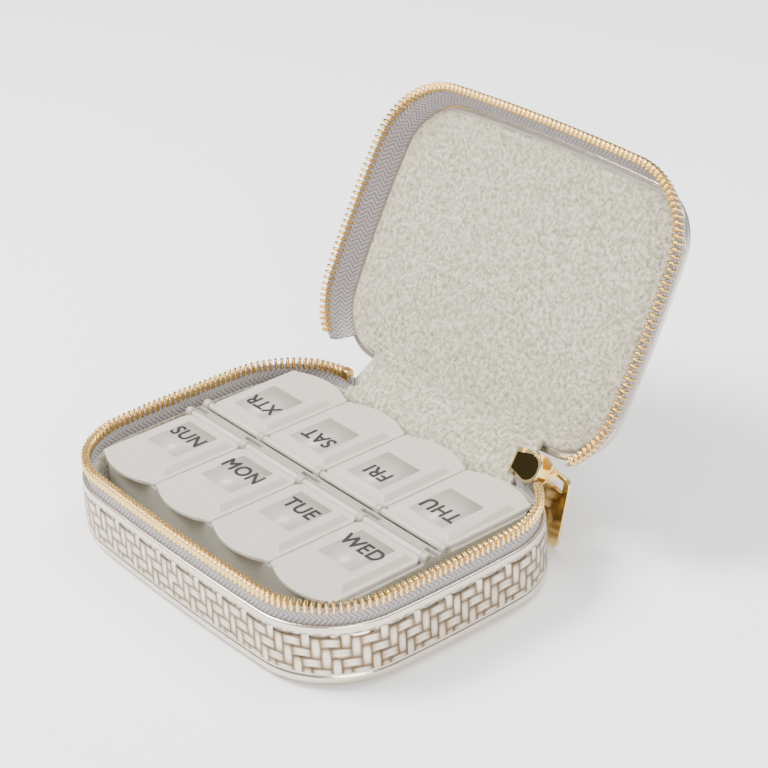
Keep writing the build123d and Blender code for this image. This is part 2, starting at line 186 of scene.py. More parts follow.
def grid_uv(u, v, round_columns, u_length=0.0):
    """Face corner pairs for the same grid, from the two coordinates of each point."""
    rows, columns = u.shape
    if round_columns:
        u = np.hstack([u, u[:, :1] + u_length])
        v = np.hstack([v, v[:, :1]])
    a, b = np.stack([u, v], -1)[:-1], np.stack([u, v], -1)[1:]
    return np.stack([a[:, :-1], a[:, 1:], b[:, 1:], b[:, :-1]], -2).reshape(-1, 2)


def smooth_normals(points, round_columns):
    """Normals of a grid of points, pointing to the left of its rows as they run."""
    if round_columns:
        across = np.roll(points, -1, axis=1) - np.roll(points, 1, axis=1)
    else:
        across = np.gradient(points, axis=1)
    normals = np.cross(across, np.gradient(points, axis=0))
    return normals / np.maximum(np.linalg.norm(normals, axis=-1, keepdims=True), 1e-9)


def box_piece(size, bevel, segments=3):
    """Vertices and faces of a rounded block of the given size in millimetres, centred on the origin."""
    build = bmesh.new()
    bmesh.ops.create_cube(build, size=1.0)
    bmesh.ops.scale(build, vec=size, verts=build.verts)
    bmesh.ops.bevel(
        build, geom=build.edges[:] + build.verts[:], offset=bevel, segments=segments, affect="EDGES"
    )
    build.verts.index_update()
    vertices = np.array([v.co[:] for v in build.verts])
    faces = [[v.index for v in f.verts] for f in build.faces]
    build.free()
    return vertices, faces


def many(name, vertices, faces, places, smooth=True):
    """Copies of one small piece as one mesh. A place is an origin and three axes as rows."""
    all_vertices, all_faces = [], []
    for i, (origin, axes) in enumerate(places):
        all_vertices.append(vertices @ np.asarray(axes) + origin)
        all_faces += [[k + i * len(vertices) for k in f] for f in faces]
    return add_mesh(name, np.vstack(all_vertices), all_faces, smooth=smooth)


def soften(piece, width, angle=25.0):
    """Round a CAD node's edges for the render, with modifiers only."""
    weld = piece.modifiers.new("weld", "WELD")
    weld.merge_threshold = 1e-6
    bevel = piece.modifiers.new("edge", "BEVEL")
    bevel.width = width * MM
    bevel.segments = 2
    bevel.limit_method = "ANGLE"
    bevel.angle_limit = math.radians(angle)
    bevel.harden_normals = False


# ---------------------------------------------------------------- materials
class Shade:
    """One material: a Principled shader and short ways to add nodes to it."""

    def __init__(self, name, **values):
        self.material = bpy.data.materials.new(name)
        self.material.use_nodes = True
        self.tree = self.material.node_tree
        self.shader = self.tree.nodes["Principled BSDF"]
        for key, value in values.items():
            self.shader.inputs[key.replace("_", " ")].default_value = value

    def node(self, kind, **inputs):
        made = self.tree.nodes.new(kind)
        for key, value in inputs.items():
            self.put(made, key.replace("_", " "), value)
        return made

    def put(self, node, key, value):
        socket = node.inputs[int(key)] if key.isdigit() else node.inputs[key]
        if isinstance(value, bpy.types.NodeSocket):
            self.tree.links.new(value, socket)
        else:
            socket.default_value = value

    def math(self, operation, a, b=0.0):
        made = self.tree.nodes.new("ShaderNodeMath")
        made.operation = operation
        self.put(made, "0", a)
        self.put(made, "1", b)
        return made.outputs[0]

    def objects(self):
        return self.node("ShaderNodeTexCoord").outputs["Object"]

    def cloth(self):
        made = self.node("ShaderNodeUVMap")
        made.uv_map = "cloth"
        return made.outputs[0]

    def noise(self, per_mm, detail=2.0, where=None, roughness=0.5):
        """Noise with so many features to the millimetre."""
        return self.node(
            "ShaderNodeTexNoise",
            Vector=where or self.objects(),
            Scale=per_mm / MM,
            Detail=detail,
            Roughness=roughness,
        ).outputs["Fac"]

    def ramp(self, factor, *stops):
        made = self.node("ShaderNodeValToRGB", Fac=factor)
        elements = made.color_ramp.elements
        while len(elements) < len(stops):
            elements.new(0.5)
        for element, (place, colour) in zip(elements, stops):
            element.position = place
            element.color = (*colour, 1.0)
        return made.outputs["Color"]

    def mix(self, factor, a, b, blend="MIX"):
        made = self.tree.nodes.new("ShaderNodeMix")
        made.data_type = "RGBA"
        made.blend_type = blend
        self.put(made, "0", factor)
        self.put(made, "6", a if isinstance(a, bpy.types.NodeSocket) else (*a, 1.0))
        self.put(made, "7", b if isinstance(b, bpy.types.NodeSocket) else (*b, 1.0))
        return made.outputs[2]

    def colour(self, socket):
        self.tree.links.new(socket, self.shader.inputs["Base Color"])

    def roughness(self, factor, low, high):
        made = self.node("ShaderNodeMapRange", Value=factor)
        made.inputs["To Min"].default_value = low
        made.inputs["To Max"].default_value = high
        self.tree.links.new(made.outputs[0], self.shader.inputs["Roughness"])

    def bump(self, height, depth_mm, strength=1.0):
        made = self.node("ShaderNodeBump", Height=height, Strength=strength, Distance=depth_mm * MM)
        self.tree.links.new(made.outputs[0], self.shader.inputs["Normal"])


def make_leather():
    """Foil leather: bright on the crowns of the weave, with painted shade multiplied in, brown on the slopes
    and near black down in its grooves.
    """
    m = Shade("foil_leather", Metallic=0.95, Coat_Weight=0.3, Coat_Roughness=0.15)
    height = m.node("ShaderNodeAttribute")
    height.attribute_name = "crown"
    blotch = m.noise(0.12, 3.0)
    tint = m.mix(blotch, (0.60, 0.52, 0.41), (0.78, 0.70, 0.58))
    # painted shade: colours for the grooves and slopes of the weave, multiplied over the tint by the crown
    # height
    painted_crevice_shade, painted_slope_shade, crown = (0.05, 0.034, 0.022), (0.34, 0.27, 0.2), (1, 1, 1)
    groove = m.ramp(height.outputs["Fac"], (0.0, painted_crevice_shade), (0.45, painted_slope_shade), (0.9, crown))
    m.colour(m.mix(1.0, tint, groove, "MULTIPLY"))
    grain = m.noise(3.0, 4.0, roughness=0.6)
    m.roughness(m.noise(0.7, 3.0), 0.12, 0.3)
    m.bump(grain, 0.035, 0.7)
    return m.material


def make_tape():
    """Woven zip tape: chevron ribs along its length, with painted shade that darkens the low parts of the
    ribs and yarns.
    """
    m = Shade("zip_tape", Sheen_Weight=0.35, Sheen_Roughness=0.4)
    uv = m.node("ShaderNodeSeparateXYZ", Vector=m.cloth())
    u, v = uv.outputs[0], uv.outputs[1]
    zig = m.math("PINGPONG", v, 1.6)
    slant = m.math("ADD", u, zig)
    rib = m.math("SINE", m.math("MULTIPLY", slant, 2 * math.pi / 1.3))
    rib = m.math("ADD", m.math("MULTIPLY", rib, 0.5), 0.5)
    yarn = m.math("SINE", m.math("MULTIPLY", v, 2 * math.pi / 0.3))
    yarn = m.math("ADD", m.math("MULTIPLY", yarn, 0.5), 0.5)
    height = m.math("ADD", m.math("MULTIPLY", rib, 0.8), m.math("MULTIPLY", yarn, 0.2))
    fuzz = m.noise(4.0, 3.0)
    # painted shade: the tone runs from near black in the rib and yarn hollows to pale on their tops
    tone = m.ramp(height, (0.0, (0.09, 0.075, 0.075)), (0.5, (0.29, 0.25, 0.25)), (1.0, (0.47, 0.42, 0.42)))
    m.colour(m.mix(m.math("MULTIPLY", fuzz, 0.35), tone, (0.60, 0.57, 0.58)))
    m.roughness(fuzz, 0.7, 0.95)
    m.bump(m.math("ADD", height, m.math("MULTIPLY", fuzz, 0.3)), 0.3)
    return m.material


def make_suede(name="suede", light=1.0):
    """Microfibre suede: short matted nap with pale and dark flecks."""
    m = Shade(name, Sheen_Weight=0.25, Sheen_Roughness=0.55)
    m.shader.inputs["Sheen Tint"].default_value = (0.9, 0.88, 0.8, 1)
    fleck = m.noise(0.9, 5.0, roughness=0.75)
    cloud = m.noise(0.06, 3.0)
    dark = tuple(light * c for c in (0.13, 0.115, 0.075))
    mid = tuple(light * c for c in (0.36, 0.325, 0.235))
    pale = tuple(light * c for c in (0.60, 0.555, 0.43))
    tone = m.ramp(fleck, (0.36, dark), (0.5, mid), (0.62, pale))
    m.colour(m.mix(m.math("MULTIPLY", cloud, 0.35), tone, mid))
    m.roughness(fleck, 0.88, 1.0)
    m.bump(fleck, 0.22, 0.8)
    return m.material


def make_metal(name, colour, rough, scratch=0.35):
    """Plated metal with faint brushing and smudges."""
    m = Shade(name, Metallic=1.0)
    smudge = m.noise(0.35, 4.0)
    worn = tuple(min(1.0, c * 1.12) for c in colour)
    m.colour(m.mix(smudge, colour, worn))
    m.roughness(smudge, rough, rough + 0.16)
    m.bump(m.noise(6.0, 3.0), 0.01, scratch)
    return m.material


def make_frosted(name, colour, clear, rough, depth=0.02):
    """Frosted polypropylene: light passes through it, and its skin has a fine matt grain."""
    m = Shade(name, Transmission_Weight=clear, IOR=1.42, Subsurface_Weight=0.25, Subsurface_Scale=0.004)
    m.shader.inputs["Subsurface Radius"].default_value = (1.0, 0.95, 0.85)
    cloud = m.noise(0.08, 2.0)
    m.colour(m.mix(cloud, colour, tuple(min(1.0, c * 1.06) for c in colour)))
    m.roughness(m.noise(1.2, 3.0), rough, rough + 0.12)
    m.bump(m.noise(5.0, 3.0), depth, 0.5)
    return m.material


def make_ink():
    """Printed black ink, slightly uneven."""
    m = Shade("ink", Specular_IOR_Level=0.4)
    patch = m.noise(1.5, 2.0)
    m.colour(m.mix(patch, (0.012, 0.012, 0.012), (0.035, 0.034, 0.032)))
    m.roughness(patch, 0.35, 0.5)
    return m.material


def make_thread(name, colour):
    """Twisted sewing thread."""
    m = Shade(name, Sheen_Weight=0.3)
    twist = m.noise(3.0, 2.0)
    m.colour(m.mix(twist, tuple(0.7 * c for c in colour), colour))
    m.roughness(twist, 0.5, 0.8)
    m.bump(twist, 0.05)
    return m.material


def make_floor():
    m = Shade("floor", Roughness=0.9)
    m.colour(m.mix(m.noise(0.01, 2.0), (0.95, 0.95, 0.945), (0.965, 0.965, 0.96)))
    return m.material


leather_look = make_leather()
tape_look = make_tape()
suede_look = make_suede()
gold_teeth_look = make_metal("gold_teeth", (0.80, 0.53, 0.20), 0.16)
gold_look = make_metal("gold_hardware", (0.95, 0.70, 0.32), 0.1)
bronze_look = make_metal("dark_bronze", (0.085, 0.06, 0.022), 0.06)
tray_look = make_frosted("frosted_tray", (0.58, 0.55, 0.46), 0.5, 0.32)
lid_look = make_frosted("frosted_lid", (0.64, 0.605, 0.51), 0.34, 0.36)
window_look = make_frosted("window", (0.60, 0.56, 0.48), 0.3, 0.3, 0.006)
ink_look = make_ink()
thread_look = make_thread("thread", (0.55, 0.52, 0.45))
board_look = make_thread("board", (0.5, 0.47, 0.42))


def dress(piece, look):
    piece.data.materials.clear()
    piece.data.materials.append(look)
    return piece


# ---------------------------------------------------------------- embossed leather
column_pitch = 2.3
row_pitch = 2.75
emboss = 0.34


def weave(u, v):
    """Height, 0 to 1, of the embossed twill: two rows of an upright strip, two columns of a level one."""
    i, j = np.floor(u / column_pitch), np.floor(v / row_pitch)
    across, up = u / column_pitch - i, v / row_pitch - j
    phase = np.mod(i + j, 4)
    upright = phase < 2
    side = np.where(upright, across, up)
    end = np.where(upright, (phase + up) / 2, (phase - 2 + across) / 2)
    crown = 1 - np.abs(2 * side - 1) ** 3.2
    ends = np.clip(np.sin(np.pi * np.clip(end, 0, 1)), 0, 1) ** 0.4
    groove = np.where(upright, 1.0, 1 - 0.22 * np.exp(-((side - 0.5) / 0.07) ** 2))
    return np.clip(crown * ends * groove, 0, 1)


def fade(x, start, end):
    """0 before start and 1 after end, smoothly."""
    t = np.clip((x - start) / (end - start), 0, 1)
    return t * t * (3 - 2 * t)


# ---------------------------------------------------------------- base leather
wall_high = node_box("base_outer_wall")[1]
wall_top = wall_high[2]
ring_samples = 1100
wall_line = outline_of(node_points("base_outer_wall"), wall_top, ring_samples)
leather = 1.1
bottom_round = 2.6
crease_height = 3.7
stitch_drop = 2.3


def leather_profile(step):
    """Down the base wall in section: distance out, height, and how deep the weave is pressed."""
    rows = [(-leather, wall_top - 1.6, 0.0), (-leather, wall_top - 0.5, 0.0)]
    for angle in np.linspace(180, 0, 9):
        a = math.radians(angle)
        rows.append((-leather / 2 + leather / 2 * math.cos(a), wall_top - 0.5 + 0.5 * math.sin(a), 0.0))
    for z in np.arange(wall_top - 0.7, crease_height + 0.6, -step):
        rows.append((0.0, z, 1.0))
    rows.append((-0.12, crease_height + 0.35, 0.3))
    rows.append((-0.5, crease_height, 0.0))
    rows.append((-0.2, crease_height - 0.4, 0.0))
    rows.append((0.12, crease_height - 0.8, 0.15))
    for angle in np.linspace(8, 90, 12):
        a = math.radians(angle)
        rows.append((bottom_round * (math.cos(a) - 1), bottom_round * (1 - math.sin(a)), 0.15))
    return np.array(rows)


def leather_skin(name, line, rows, to_world=None, inner_rings=0, flat_weave=0.5):
    """A leather skin that follows an outline down a profile and then closes in flat rings to the middle."""
    out, z, press = rows.T
    base = np.array([np.column_stack([line.moved(o), np.full(len(line.s), h)]) for o, h in zip(out, z)])
    u = np.tile(line.s, (len(rows), 1))
    v = np.tile(z[:, None], (1, len(line.s)))
    press = np.tile(press[:, None], (1, len(line.s)))
    if inner_rings:
        last = base[-1]
        middle = last.mean(axis=0)
        shares = np.linspace(1, 0.02, inner_rings + 1)[1:]
        flat = middle + shares[:, None, None] * (last - middle)
        base = np.concatenate([base, flat])
        u = np.concatenate([u, flat[..., 0]])
        v = np.concatenate([v, flat[..., 1]])
        press = np.concatenate([press, np.full(flat.shape[:2], flat_weave)])
    normals = smooth_normals(base, True)
    crown = weave(u, v)
    base = base + normals * (emboss * press * (crown - 0.55))[..., None]
    crown = 1 - press + press * crown
    if to_world is not None:
        base = to_world(base)
    rows_count, columns = u.shape
    faces = grid_faces(rows_count, columns, True)
    vertices = base.reshape(-1, 3)
    # the crown height, kept as an attribute, sets the painted groove shade in the leather material
    shade = crown.ravel()
    if inner_rings:
        first = (rows_count - 1) * columns
        faces = [list(f) for f in faces] + [list(range(first, first + columns))]
    piece = add_mesh(name, vertices, faces, attributes={"crown": shade})
    return dress(piece, leather_look)


profile = leather_profile(0.22)
band = fade(wall_top - profile[:, 1], stitch_drop - 0.5, stitch_drop + 0.7) * 0.85 + 0.15
profile[:, 2] *= band
groove = np.exp(-((wall_top - profile[:, 1] - stitch_drop) / 0.3) ** 2) * (profile[:, 2] > 0)
profile[:, 0] -= 0.22 * groove
base_leather = leather_skin("base_leather", wall_line, profile, inner_rings=60, flat_weave=0.55)
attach(base_leather, "base")
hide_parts("base_outer_wall", "base_bottom_cover", "base_bottom_welt")


def stitches(name, points, runs, outs, length, thick, look, body):
    """A row of sewn stitches: short rounded threads that lie along a seam."""
    vertices, faces = box_piece((length, thick, thick * 0.8), thick * 0.36, 2)
    vertices[:, 2] -= 0.45 * thick * (2 * vertices[:, 0] / length) ** 4
    places = []
    for point, run, out in zip(points, runs, outs):
        side = np.cross(out, run)
        places.append((point, np.array([run, side, out])))
    piece = dress(many(name, vertices, faces, places), look)
    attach(piece, body)
    return piece


def along_line(line, pitch, keep=None):
    """Evenly spaced places on an outline: point, direction and outward normal, all flat."""
    count = int(line.length / pitch)
    picks = (np.arange(count) * len(line.s) / count).astype(int)
    if keep is not None:
        picks = np.array([k for k in picks if keep(line.points[k])])
    return line.points[picks], line.run[picks], line.normal[picks]


def lift(flat, height=0.0):
    return np.column_stack([flat, np.full(len(flat), height)])


spots, runs, outs = along_line(wall_line, 3.1)
stitches(
    "base_top_stitching", lift(spots - 0.12 * outs, wall_top - stitch_drop), lift(runs), lift(outs),
    2.0, 0.42, thread_look, "base",
)

# ---------------------------------------------------------------- zip tapes
lower_low, lower_high = node_box("lower_zip_tape")
tape_thick = 0.6
tape_out = wall_line.points - wall_line.normal * (leather + 0.05 + tape_thick / 2)
ring_line = Outline(tape_out, ring_samples)
strip_low, strip_high = node_box("hinge_strip")
slider_low, slider_high = node_box("slider_body")
strip_half = strip_high[0]


def tape_piece(name, line, rows, keep, to_world=None):
    """A tape with two faces and a folded edge, along the part of an outline that keep() allows."""
    out, z = np.array(rows).T
    kept = np.array([keep(p) for p in line.points])
    if kept.all():
        order = np.arange(len(kept))
    else:
        first = np.argmax(kept & ~np.roll(kept, 1))
        order = (first + np.arange(kept.sum())) % len(kept)
    points = np.array([
        np.column_stack([(line.points + o * line.normal)[order], np.full(len(order), h)])
        for o, h in zip(out, z)
    ])
    girth = np.concatenate([[0], np.cumsum(np.hypot(np.diff(out), np.diff(z)))])
    s = np.arange(len(order)) * line.length / len(line.s)
    u, v = np.tile(s, (len(out), 1)), np.tile(girth[:, None], (1, len(order)))
    if to_world is not None:
        points = to_world(points)
    faces = grid_faces(*u.shape, bool(kept.all()))
    piece = add_mesh(name, points.reshape(-1, 3), faces, uv=grid_uv(u, v, bool(kept.all()), line.length))
    return dress(piece, tape_look)


def tape_section(low, high, half):
    """A tape's section from its inner foot over its edge to its outer foot."""
    rows = [(-half, z) for z in np.linspace(low, high - half, 14)]
    for a in np.linspace(0.4, math.pi - 0.4, 5):
        rows.append((-half * math.cos(a), high - half + half * math.sin(a)))
    return rows + [(half, z) for z in np.linspace(high - half, low, 14)]


def beside_strip(point):
    """Everywhere on the ring but behind the suede strip."""
    return not (point[1] > hinge_y - 3 and abs(point[0]) < strip_half - 1.5)


lower_tape = tape_piece(
    "lower_tape_cloth", ring_line, tape_section(lower_low[2], lower_high[2], tape_thick / 2), beside_strip
)
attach(lower_tape, "base")
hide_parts("lower_zip_tape")

lid_cover_points = close_lid(node_points("lid_outer_cover"))
lid_tape_points = close_lid(node_points("upper_zip_tape"))
lid_top = lid_cover_points[:, 2].max()
lid_cover_foot = lid_cover_points[:, 2].min()
lid_line = outline_of(lid_cover_points, lid_cover_foot, 900)
skirt_foot, skirt_turn, skirt_top = lid_tape_points[:, 2].min(), zip_plane + 4.0, lid_tape_points[:, 2].max()
chain_gap = 5.0


def upper_section():
    half = tape_thick / 2
    inset = 3.4
    inner = [(-half - inset * fade(z, skirt_turn - 1.5, skirt_top + 1.2), z)
             for z in np.linspace(skirt_top, skirt_foot + half, 22)]
    edge = []
    for a in np.linspace(0.4, math.pi - 0.4, 5):
        edge.append((-half * math.cos(a), skirt_foot + half - half * math.sin(a)))
    outer = [(half - inset * fade(z, skirt_turn - 1.5, skirt_top + 1.2), z)
             for z in np.linspace(skirt_foot + half, skirt_top, 22)]
    return inner + edge + outer


def clear_of_hinge(point):
    return point[1] < hinge_y - chain_gap


upper_tape = tape_piece("upper_tape_cloth", ring_line, upper_section(), clear_of_hinge, open_lid)
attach(upper_tape, "case_lid")
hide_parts("upper_zip_tape")

# ---------------------------------------------------------------- zip teeth
def tooth_shape():
    """One zip tooth standing on +Z: a block rounded in section, with softened edges, and a nib at its tip."""
    build = bmesh.new()
    bmesh.ops.create_cube(build, size=1.0)
    bmesh.ops.scale(build, vec=(0.74, 2.2, 2.9), verts=build.verts)
    bmesh.ops.bevel(
        build, geom=[e for e in build.edges if abs((e.verts[0].co - e.verts[1].co).x) > 0.1],
        offset=0.7, segments=4, affect="EDGES", profile=0.6,
    )
    sharp = [e for e in build.edges if e.calc_face_angle(0) > 1.0]
    bmesh.ops.bevel(build, geom=sharp, offset=0.16, segments=2, affect="EDGES")
    build.verts.index_update()
    vertices = np.array([v.co[:] for v in build.verts])
    faces = [[v.index for v in f.verts] for f in build.faces]
    build.free()
    vertices[:, 2] -= 1.45
    nib_vertices, nib_faces = box_piece((0.5, 1.2, 0.6), 0.18, 2)
    nib_vertices[:, 2] -= 0.12
    faces += [[k + len(vertices) for k in f] for f in nib_faces]
    return np.vstack([vertices, nib_vertices]), faces


def teeth_places(line, pitch, half_step, keep):
    """Where teeth stand along the ring: each one's point, run and outward normal, between samples."""
    count = round(line.length / pitch)
    total = len(line.s)
    stands = []
    for step in range(count):
        share = (step + half_step) / count * total
        first = int(share) % total
        after, part = (first + 1) % total, share - int(share)
        point, run, out = (
            (1 - part) * row[first] + part * row[after] for row in (line.points, line.run, line.normal)
        )
        if keep(point):
            stands.append((point, run / np.linalg.norm(run), out / np.linalg.norm(out)))
    return stands


tooth_vertices, tooth_faces = tooth_shape()
tooth_pitch = 1.6
tip_height = node_box("lower_zip_teeth")[1][2]
stop_low = node_box("zip_end_stop")[0]
notch_left, notch_right = slider_low[0] - 0.9, slider_high[0] + 0.9


def lower_tooth_stands(point):
    at_back = point[1] > hinge_y - chain_gap
    return not (at_back and (abs(point[0]) < -stop_low[0] + 0.7 or notch_left < point[0] < notch_right))


lower_spots = teeth_places(ring_line, tooth_pitch, 0.0, lower_tooth_stands)
places = []
for point, run, out in lower_spots:
    run, out = np.array([*run, 0]), np.array([*out, 0])
    places.append((np.array([*point, tip_height]), np.array([run, out, [0, 0, 1]])))
lower_teeth = dress(many("lower_teeth", tooth_vertices, tooth_faces, places), gold_teeth_look)
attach(lower_teeth, "base")
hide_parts("lower_zip_teeth")

upper_spots = teeth_places(ring_line, tooth_pitch, 0.5, lambda p: p[1] < hinge_y - chain_gap - 0.9)
hinge_point = np.array([[0, hinge_y, zip_plane]])
lid_turn = open_lid(hinge_point + np.eye(3)) - open_lid(hinge_point)
upper_tip = 2 * zip_plane - tip_height
places = []
for point, run, out in upper_spots:
    run, out = np.array([*run, 0]), np.array([*out, 0])
    axes = np.array([run, -out, [0, 0, -1]]) @ lid_turn
    places.append((open_lid(np.array([*point, upper_tip])), axes))
upper_teeth = dress(many("upper_teeth", tooth_vertices, tooth_faces, places), gold_teeth_look)
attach(upper_teeth, "case_lid")
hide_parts("upper_zip_teeth")

# ---------------------------------------------------------------- lid leather and suede
lid_profile = [(-1.2, lid_cover_foot - 0.9, 0.0), (-0.1, lid_cover_foot - 0.9, 0.0)]
for angle in np.linspace(-80, 60, 7):
    a = math.radians(angle)
    lid_profile.append((0.1 + 0.35 * math.cos(a) - 0.1, lid_cover_foot - 0.45 + 0.45 * math.sin(a), 0.0))
lid_profile.append((-0.15, lid_cover_foot + 0.05, 0.0))
for angle in np.linspace(0, 90, 10):
    a = math.radians(angle)
    lid_profile.append((1.3 * (math.cos(a) - 1), lid_top - 1.3 + 1.3 * math.sin(a), 0.25))
lid_leather = leather_skin(
    "lid_leather", lid_line, np.array(lid_profile), open_lid, inner_rings=110, flat_weave=1.0
)
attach(lid_leather, "case_lid")
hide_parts("lid_outer_cover", "lid_welt")

lining_points = close_lid(node_points("lid_lining"))
panel_low, panel_high = lining_points[:, 2].min(), lining_points[:, 2].max()
panel_line = outline_of(lining_points, panel_high, 500)


def suede_panel(name, line, low, high, puff, to_world, body, node):
    """A suede panel with a turned edge, a little plump between its edge and a stitched seam."""
    face = low
    back = high
    rows = [(0.0, back), (0.0, face + 0.5), (-0.12, face + 0.2), (-0.4, face)]
    for inset in np.linspace(0.9, 5.5, 16):
        swell = puff * math.sin(min(1.0, inset / 4.4) * math.pi) * (inset < 4.4)
        dip = 0.25 * math.exp(-((inset - 2.6) / 0.28) ** 2)
        rows.append((-inset, face - 0.4 * swell + dip))
    out, z = np.array(rows).T
    grid = np.array([np.column_stack([line.moved(o), np.full(len(line.s), h)]) for o, h in zip(out, z)])
    last = grid[-1]
    middle = last.mean(axis=0)
    shares = np.linspace(1, 0.03, 40)[1:]
    flat = middle + shares[:, None, None] * (last - middle)
    wave = 0.18 * np.sin(flat[..., 0] / 11.0 + 1.0) * np.sin(flat[..., 1] / 9.0)
    flat[..., 2] += wave * fade(1 - shares, 0, 0.25)[:, None]
    grid = np.concatenate([grid, flat])
    faces = [list(f)[::-1] for f in grid_faces(*grid.shape[:2], True)]
    first = (len(grid) - 1) * grid.shape[1]
    faces.append(list(range(first, first + grid.shape[1]))[::-1])
    piece = dress(add_mesh(name, to_world(grid).reshape(-1, 3), faces), suede_look)
    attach(piece, body)
    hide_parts(node)
    return piece


suede_panel("lid_suede", panel_line, panel_low, panel_high, 0.35, open_lid, "case_lid", "lid_lining")
spots, runs, outs = along_line(Outline(panel_line.moved(-2.6), 500), 2.6)
flat_spots = lift(spots, panel_low + 0.08)
lid_up = lid_turn[2]
stitches(
    "lid_stitching", open_lid(flat_spots), lift(runs) @ lid_turn, np.tile(-lid_up, (len(spots), 1)),
    1.6, 0.34, thread_look, "case_lid",
)

# ---------------------------------------------------------------- base lining, boards
for name in ("base_wall_lining", "base_floor_lining"):
    dress(nodes[name], suede_look)
for name in ("base_bottom_board", "base_wall_stiffener", "lid_board"):
    dress(nodes[name], board_look)
dress(nodes["zip_end_stop"], gold_teeth_look)
soften(nodes["zip_end_stop"], 0.25)


# ---------------------------------------------------------------- suede hinge strip and leather spine
def rounded_path(corners, radius, step):
    """A polyline with its corners rounded, sampled evenly."""
    corners = [np.array(c, float) for c in corners]
    points = [corners[0]]
    for a, b, c in zip(corners, corners[1:], corners[2:]):
        r = min(radius, 0.45 * np.linalg.norm(b - a), 0.45 * np.linalg.norm(c - b))
        start, end = b + (a - b) / np.linalg.norm(a - b) * r, b + (c - b) / np.linalg.norm(c - b) * r
        for t in np.linspace(0, 1, 9):
            points.append((1 - t) ** 2 * start + 2 * t * (1 - t) * b + t * t * end)
    points.append(corners[-1])
    points = np.array(points)
    along = np.concatenate([[0], np.cumsum(np.linalg.norm(np.diff(points, axis=0), axis=1))])
    s = np.linspace(0, along[-1], max(3, int(along[-1] / step)))
    return np.stack([np.interp(s, along, points[:, i]) for i in (0, 1)], -1), s


def on_lid(back, up):
    return open_lid(np.array([0, hinge_y + back, zip_plane + up]))[1:]


def folded_band(name, path, half_width, thick, look, bow=None, weave_press=0.0, waves=0.0):
    """A band of cloth or leather across the hinge: a path in section, drawn out along X, with two faces."""
    points, s = path
    columns = int(2 * half_width / 0.4)
    x = np.linspace(-half_width, half_width, columns)
    run = np.gradient(points, axis=0)
    run /= np.linalg.norm(run, axis=1)[:, None]
    normal = np.stack([-run[:, 1], run[:, 0]], -1)
    faces_of = []
    for side in (-0.5, 0.5):
        y = np.tile(points[:, :1] + side * thick * normal[:, :1], (1, columns))
        z = np.tile(points[:, 1:] + side * thick * normal[:, 1:], (1, columns))
        ripple = waves * np.sin(x / 7.0 + 0.6) * np.sin(np.pi * s / s[-1])[:, None]
        press = emboss * weave_press * (weave(x[None, :] + 0 * s[:, None], s[:, None] + 0 * x[None, :]) - 0.5)
        shift = ripple + (press if side < 0 else 0)
        y = y + shift * normal[:, :1] * (1 if side > 0 or not weave_press else -1)
        z = z + shift * normal[:, 1:] * (1 if side > 0 or not weave_press else -1)
        if bow is not None:
            y = y - bow * (x / half_width) ** 2
        faces_of.append(np.stack([np.tile(x, (len(s), 1)), y, z], -1))
    front, back = faces_of
    vertices = np.concatenate([front.reshape(-1, 3), back.reshape(-1, 3)])
    quads = grid_faces(len(s), columns, False)
    half = len(front.reshape(-1, 3))
    faces = [list(f) for f in quads] + [list(f + half)[::-1] for f in quads]
    rim = [i for i in range(columns)] + [r * columns + columns - 1 for r in range(1, len(s))]
    rim += [(len(s) - 1) * columns + i for i in range(columns - 2, -1, -1)]
    rim += [r * columns for r in range(len(s) - 2, 0, -1)]
    for a, b in zip(rim, rim[1:] + rim[:1]):
        faces.append([b, a, a + half, b + half])
    # crown also sets the painted groove shade of the leather on the spine
    crown = weave(x[None, :] + 0 * s[:, None], s[:, None] + 0 * x[None, :])
    crown = np.concatenate([(1 - weave_press + weave_press * crown).ravel()] * 2)
    return dress(add_mesh(name, vertices, faces, attributes={"crown": crown}), look)


strip_y = strip_low[1] + 0.4
panel_edge = -(hinge_y - panel_line.points[:, 1].max())
strip_path = rounded_path(
    [
        (strip_y, strip_low[2]),
        (strip_y, wall_top - 0.6),
        tuple(on_lid(panel_edge + 0.3, panel_low - zip_plane - 0.55)),
        tuple(on_lid(panel_edge - 1.8, panel_low - zip_plane - 0.5)),
    ],
    4.0, 0.5,
)
suede_strip = folded_band("hinge_suede", strip_path, strip_half, 0.8, suede_look, waves=0.22)
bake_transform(suede_strip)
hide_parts("hinge_strip")

spine_low = node_box("hinge_spine")[0]
spine_y = wall_high[1] + 0.6
spine_path = rounded_path(
    [
        (spine_y, spine_low[2]),
        (spine_y, wall_top - 2.0),
        (spine_y + 2.4, wall_top + 0.4),
        tuple(on_lid(-2.45, lid_top - zip_plane - 0.9)),
        tuple(on_lid(-2.45, lid_cover_foot - zip_plane)),
    ],
    2.2, 0.35,
)
spine = folded_band("spine_leather", spine_path, strip_half, 1.1, leather_look, weave_press=0.8)
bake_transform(spine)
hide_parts("hinge_spine")

# ---------------------------------------------------------------- slider and pull tab
for name in ("slider_body", "pull_tab"):
    dress(nodes[name], gold_look)
    soften(nodes[name], 0.18)

